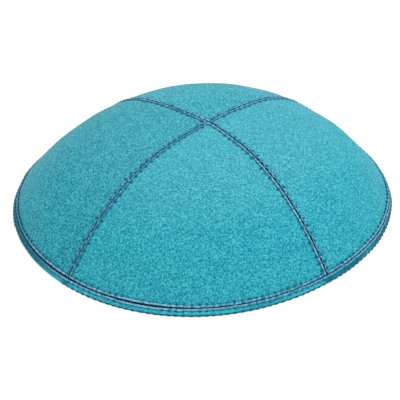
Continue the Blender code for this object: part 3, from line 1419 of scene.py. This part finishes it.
@dataclass(frozen=True)
class SuedeFinish:
    """Dyed suede with a short brushed nap, pale where it is cut, with painted shade in its creases
    and hollows and a painted sheen towards the top.
    """

    name: str
    painted_lightness: float = 1.0  # painted light and shade: how light this piece is, for how the light falls on its nap
    deep: Colour = (0.006, 0.240, 0.335)
    dull: Colour = (0.018, 0.350, 0.450)
    bright: Colour = (0.040, 0.445, 0.548)
    pale: Colour = (0.090, 0.575, 0.670)
    core: Colour = (0.34, 0.64, 0.80)
    core_shade: Colour = (0.015, 0.19, 0.33)
    # The colours of painted shade: in creases, and near black in the seams' hollows
    crease: Colour = (0.001, 0.055, 0.090)
    black: Colour = (0.003, 0.036, 0.100)
    painted_sheen_colour: Colour = (0.50, 0.68, 0.76)  # the colour of the painted sheen towards the top
    painted_sheen: float = 0.06
    painted_sheen_from: float = 20.0 * MM  # the height over the table where the painted sheen begins
    painted_sheen_to: float = 40.0 * MM
    contrast: float = 1.0  # of the nap's pattern
    curl: float = 0.70 * MM  # the width of the nap's small curls
    tuft: float = 0.42 * MM
    patch: float = 6.0 * MM
    fibre: float = 0.30 * MM
    fray: float = 1.1 * MM  # of the spots where a cut edge is frayed
    nap_places: tuple[float, ...] = (0.36, 0.46, 0.55, 0.66)  # of the four colours
    nap_even: float = 0.505  # the nap's middle value, which the contrast leaves as it is
    inner_tone: float = 0.8  # how light its inner side is
    # How much the curls, the tufts and the patches count in the nap
    nap_weights: tuple[float, ...] = (0.64, 0.31, 0.05)
    # How much the painted paleness and shade, fibres and fraying count in how pale a cut edge is,
    # and where it turns pale
    core_weights: tuple[float, ...] = (0.30, 0.3, 0.7)
    core_range: tuple[float, float] = (0.62, 0.82)
    # How much the cut, fraying and tufts count in where a cut edge shows, and from where to where
    edge_weights: tuple[float, ...] = (1.0, 1.0, 0.3)
    edge_range: tuple[float, float] = (0.95, 1.40)
    # How much the painted shade, tufts and fraying count in where a crease's painted shade shows
    shade_weights: tuple[float, ...] = (1.0, 0.45, 0.25)
    shade_range: tuple[float, float] = (0.55, 1.15)
    hollow_range: tuple[float, float] = (0.15, 0.75)
    # How much the curls, the tufts and the fibres stand out, and how deep they are in all
    relief_weights: tuple[float, ...] = (0.55, 0.35, 0.10)
    relief: float = 0.30 * MM
    relief_strength: float = 0.5

    def with_painted_lightness(self, colour: Colour, by: float = 1.0) -> Colour:
        """A colour made as light as this piece's painted light and shade, times one more share."""
        return tuple(part * self.painted_lightness * by for part in colour)

    def make(self) -> bpy.types.Material:
        """Builds the material: nap, painted sheen, inner side, cut edges, and the painted shade of
        creases and hollows in turn.

        Returns:
            The material.
        """
        nodes = Nodes(self.name)
        curls = nodes.noise(self.curl, 0.6, 0.6, swirl=0.8)
        tufts = nodes.noise(self.tuft, 1.0, 0.5)
        patches = nodes.noise(self.patch, 2.0)
        fibres = nodes.noise(self.fibre, 2.0, 0.7)
        fray = nodes.noise(self.fray, 2.0, 0.6)

        nap = nodes.sum((curls, tufts, patches), self.nap_weights)
        even = self.nap_even
        places = [even + (place - even) / self.contrast for place in self.nap_places]
        colours = (self.deep, self.dull, self.bright, self.pale)
        colour = nodes.ramp(nap, *zip(places, map(self.with_painted_lightness, colours), strict=True))

        # Painted sheen: a pale haze mixed in towards the top, where the light grazes the nap.
        height = nodes.spread(nodes.height(), self.painted_sheen_from, self.painted_sheen_to)
        sheen_mix = nodes.sum((height,), (self.painted_sheen,))
        colour = nodes.blend(sheen_mix, colour, (*self.painted_sheen_colour, 1.0))

        low, high = (self.with_painted_lightness(part, self.inner_tone) for part in (self.dull, self.bright))
        flat = nodes.ramp(nap, (0.3, low), (0.7, high))
        colour = nodes.blend(nodes.paint("inside"), colour, flat)

        pale = nodes.sum((nodes.paint("pale_and_painted_shade"), fibres, fray), self.core_weights)
        core = nodes.ramp(pale, *zip(self.core_range, (self.core_shade, self.core)))
        edge = nodes.sum((nodes.paint("cut"), fray, tufts), self.edge_weights)
        colour = nodes.blend(nodes.spread(edge, *self.edge_range), colour, core)

        # Painted shade in the creases
        shade = nodes.sum((nodes.paint("shade"), tufts, fray), self.shade_weights)
        dark = nodes.ramp(tufts, (0.3, self.crease), (0.8, self.with_painted_lightness(self.deep)))
        colour = nodes.blend(nodes.spread(shade, *self.shade_range), colour, dark)

        # Painted shade, near black, in the seams' hollows.
        black = nodes.ramp(tufts, (0.3, self.black), (0.9, self.crease))
        hollow = nodes.spread(nodes.paint("hollow"), *self.hollow_range)
        colour = nodes.blend(hollow, colour, black)

        height = nodes.sum((curls, tufts, fibres), self.relief_weights)
        nodes.bump(height, self.relief, self.relief_strength)
        return nodes.finish(
            colour,
            Roughness=0.85,
            Specular_IOR_Level=0.10,
            Sheen_Weight=0.14,
            Sheen_Roughness=0.40,
            Sheen_Tint=(0.85, 0.95, 1.0, 1.0),
        )


@dataclass(frozen=True)
class StrandFinish:
    """Thread or loose fibres, in strands of two colours."""

    name: str
    dark: Colour
    light: Colour
    strand: float = 0.35 * MM
    blur: float = 0.15  # how gradually one colour turns into the other
    roughness: float = 0.75
    gloss: float = 0.3
    sheen: float = 0.1
    relief: float = 0.1 * MM  # none on loose fibres
    relief_strength: float = 0.5

    def make(self) -> bpy.types.Material:
        """Builds the material.

        Returns:
            The material.
        """
        nodes = Nodes(self.name)
        strands = nodes.noise(self.strand, 2.0, 0.6)
        colour = nodes.ramp(strands, (0.5 - self.blur, self.dark), (0.5 + self.blur, self.light))
        if self.relief > 0:
            nodes.bump(strands, self.relief, self.relief_strength)
        return nodes.finish(
            colour,
            Roughness=self.roughness,
            Specular_IOR_Level=self.gloss,
            Sheen_Weight=self.sheen,
        )


SEAM_THREAD = StrandFinish("teal thread", (0.002, 0.075, 0.110), (0.012, 0.190, 0.250))
# The seam thread darkened, as painted shade under the band's fold and inside it.
HEM_THREAD_IN_SHADE = StrandFinish("teal thread in painted shade", (0.002, 0.024, 0.034), (0.010, 0.080, 0.100))
EDGE_FIBRES = StrandFinish(
    "fibres of the cut edges",
    (0.05, 0.30, 0.40),
    (0.34, 0.60, 0.72),
    strand=1.2 * MM,
    blur=0.12,
    roughness=0.9,
    gloss=0.2,
    sheen=0.0,
    relief=0.0,
)


@dataclass
class Skullcap:
    """The whole cap: its sizes, its seams and the pieces that they make."""

    form: CrownForm = CrownForm()
    ridge: Ridge = Ridge()
    rim_ridge: Ridge = Ridge(
        splay=-0.22 * MM, line=0.52, tick=1.05, tick_at=0.30 * MM, tick_reach=0.70 * MM
    )
    band_ridge: Ridge = Ridge(splay=-0.22 * MM, line=0.58, tick=0.85, tick_reach=0.5 * MM)
    crown_stitch: float = 3.42 * MM
    top_clear: float = 1.4 * MM  # no stitch starts nearer the top than this
    hem_shown: float = 0.5  # a stitch of the hem is there where it shows more than this

    def __post_init__(self) -> None:
        """Lays out the four crown seams and the rim seam."""
        row = StitchRow(length=self.crown_stitch)
        starts = (0.10, 0.55, 0.90, 0.30)
        gores = ["crown_gore_" + place for place in ("right", "back", "left", "front")]
        rows = [replace(row, start=start, seed=seed) for seed, start in enumerate(starts)]
        self.seams = (
            # azimuth, twist, bow, gore, tucked, stitches, slack, how pale its two cut edges are,
            # with painted light and shade
            CrownSeam(-51.8, -0.6, -6.0, gores[0], False, rows[0], 0.02 * MM, (0.62, 0.86)),
            CrownSeam(43.1, 1.2, -2.7, gores[1], True, rows[1], -0.05 * MM, (0.66, 0.66)),
            CrownSeam(127.9, 11.1, -1.6, gores[2], False, rows[2], -0.03 * MM, (0.70, 0.76)),
            CrownSeam(228.1, -3.0, 1.5, gores[3], True, rows[3], -0.14 * MM, (0.50, 0.56)),
        )
        self.rim = RimSeam(self.form)
        self.finishes = (
            # how light each gore is, as painted light and shade, and how strong the nap's pattern
            # is on it
            SuedeFinish("suede crown gore right", painted_lightness=0.98, contrast=1.52, painted_sheen=0.065),
            SuedeFinish("suede crown gore back", painted_lightness=0.93, contrast=2.70, painted_sheen=0.035),
            SuedeFinish("suede crown gore left", painted_lightness=0.88, contrast=2.15, painted_sheen=0.040),
            SuedeFinish("suede crown gore front", painted_lightness=0.99, contrast=1.32, painted_sheen=0.062),
        )

    def keep(self, piece: bpy.types.Object, node: str | None = None) -> None:
        """Fixes a finished piece to the frame and reports it.

        Args:
            piece: The piece.
            node: The frame's node that it stands for, if any.
        """
        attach(piece, "root")
        if node is not None:
            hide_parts(node)
        piece.data.calc_loop_triangles()
        log.info("%s: %d triangles", piece.name, len(piece.data.loop_triangles))

    def build_gores(self) -> None:
        """Builds the crown's four gores, each between two seams."""
        for number, first in enumerate(self.seams):
            second = self.seams[(number + 1) % len(self.seams)]
            gore = Gore(self.form, first, second, self.rim, self.ridge, self.rim_ridge)
            piece = gore.skin().piece("suede_" + first.gore, self.finishes[number].make())
            self.keep(piece, first.gore)

    def build_band(self) -> None:
        """Builds the band round the rim."""
        band = RimBand(self.form, self.rim, self.seams, self.band_ridge)
        # painted light: the band is made lighter than the plain nap
        finish = SuedeFinish(
            "suede rim band", painted_lightness=1.25, core=(0.31, 0.60, 0.82), core_shade=(0.02, 0.21, 0.38)
        )
        piece = band.skin().piece("suede_rim_band", finish.make())
        self.keep(piece, "rim_band")

    def build_fringe(self) -> None:
        """Grows the fibres of the cut edges."""
        fringe = Fringe(self.form, self.rim, self.seams, self.ridge)
        self.keep(fringe.skin().piece("fibres_of_cut_edges", EDGE_FIBRES.make()))

    def build_thread(self) -> None:
        """Builds the stitches of the crown seams, of the rim seam, of the hem and of the leaf."""
        thread = Thread(self.form, self.rim, self.ridge)
        thick = replace(thread, radius=0.19 * MM, half=1.10 * MM)
        end = float(self.form.slope_run(1.0)) - self.form.sewing.foot
        crown = [
            (side, seam, seam.stitches.runs(self.top_clear, end))
            for seam in self.seams
            for side in (Side.FIRST, Side.SECOND)
        ]
        # The last stitch of a row round the rim is its first.
        middles = self.rim.stitches.runs(0.0, self.rim.length)[:-1]
        shown = middles[self.rim.shown(self.rim.azimuth(middles)) > self.hem_shown]
        rim = [(side, None, middles) for side in (Side.CROWN, Side.BAND)]
        # The hem's and the leaf's thread is darkened as painted shade.
        light, dark = SEAM_THREAD.make(), HEM_THREAD_IN_SHADE.make()
        for place, maker, rows, finish in (
            ("crown_seams", thread, crown, light),
            ("rim_seam", thread, rim, light),
            ("band_hem", thick, [(Side.HEM, None, shown)], dark),
            ("band_leaf", thread, [(Side.LEAF, None, middles)], dark),
        ):
            self.keep(maker.skin(rows).piece("thread_of_" + place, finish))


@dataclass
class Studio:
    """A plain pale floor, soft light and the camera at the photograph's angle."""

    elevation: float = 32.579  # degrees above the floor
    distance: float = 0.6975
    lens: float = 137.37  # millimetres, as is the sensor's width
    sensor: float = 36.0
    aim: tuple[float, float] = (-0.87 * MM, 0.16 * MM)  # right and up in the picture
    tilt: float = -1.330  # degrees, of the camera about its own axis
    floor_half: float = 6.0
    floor_colour: float = 0.35
    floor_glow: float = 0.75  # it keeps the floor pale where the cap shades it
    sky: float = 0.52
    key_place: tuple[float, float, float] = (0.35, 0.10, 1.5)
    key_size: float = 0.9
    key_power: float = 16.0  # watts

    def build_floor(self) -> None:
        """A wide pale sheet, lit so evenly that its shadows are faint."""
        nodes = Nodes("pale floor")
        nodes.settings(Base_Color=(*[self.floor_colour] * 3, 1.0), Roughness=1.0)
        nodes.settings(Specular_IOR_Level=0.0, Emission_Strength=self.floor_glow)
        nodes.settings(Emission_Color=(1.0, 1.0, 1.0, 1.0))
        corners = self.floor_half * np.array([(-1, -1, 0), (1, -1, 0), (1, 1, 0), (-1, 1, 0)])
        floor = Skin(corners, [np.array([[0, 1, 2, 3]])]).piece("floor", nodes.material)

    def build_lights(self) -> None:
        """A broad soft light overhead and to the right, and an even white surrounding."""
        world = bpy.data.worlds.new("white surrounding")
        bpy.context.scene.world = world
        world.use_nodes = True
        background = world.node_tree.nodes["Background"]
        background.inputs["Color"].default_value = (1.0, 1.0, 1.0, 1.0)
        background.inputs["Strength"].default_value = self.sky
        data = bpy.data.lights.new("key light", "AREA")
        data.shape = "SQUARE"
        data.size = self.key_size
        data.energy = self.key_power
        light = link("key light", data)
        light.location = self.key_place
        light.rotation_euler = (-Vector(self.key_place)).to_track_quat("-Z", "Y").to_euler()

    def build_camera(self) -> None:
        """The camera looks along +Y and down, from the photograph's elevation."""
        lift = math.radians(self.elevation)
        back = Vector((0.0, -math.cos(lift), math.sin(lift)))
        up = Vector((0.0, math.sin(lift), math.cos(lift)))
        right = Vector((1.0, 0.0, 0.0))
        data = bpy.data.cameras.new("camera")
        data.sensor_width = self.sensor
        data.lens = self.lens
        camera = link("camera", data)
        facing = Matrix((right, up, back)).transposed()
        roll = Euler((0.0, 0.0, math.radians(self.tilt))).to_matrix()
        camera.rotation_euler = (facing @ roll).to_euler()
        camera.location = back * self.distance + right * self.aim[0] + up * self.aim[1]
        bpy.context.scene.camera = camera

    def build(self) -> None:
        """Sets the stage."""
        self.build_floor()
        self.build_lights()
        self.build_camera()
        bpy.context.scene.view_settings.view_transform = "Standard"


def main() -> None:
    """Builds the cap and its stage."""
    logging.basicConfig(level=logging.INFO, format="%(name)s: %(message)s")
    Studio().build()
    cap = Skullcap()
    cap.build_gores()
    cap.build_band()
    cap.build_fringe()
    cap.build_thread()


if __name__ == "__main__":
    main()
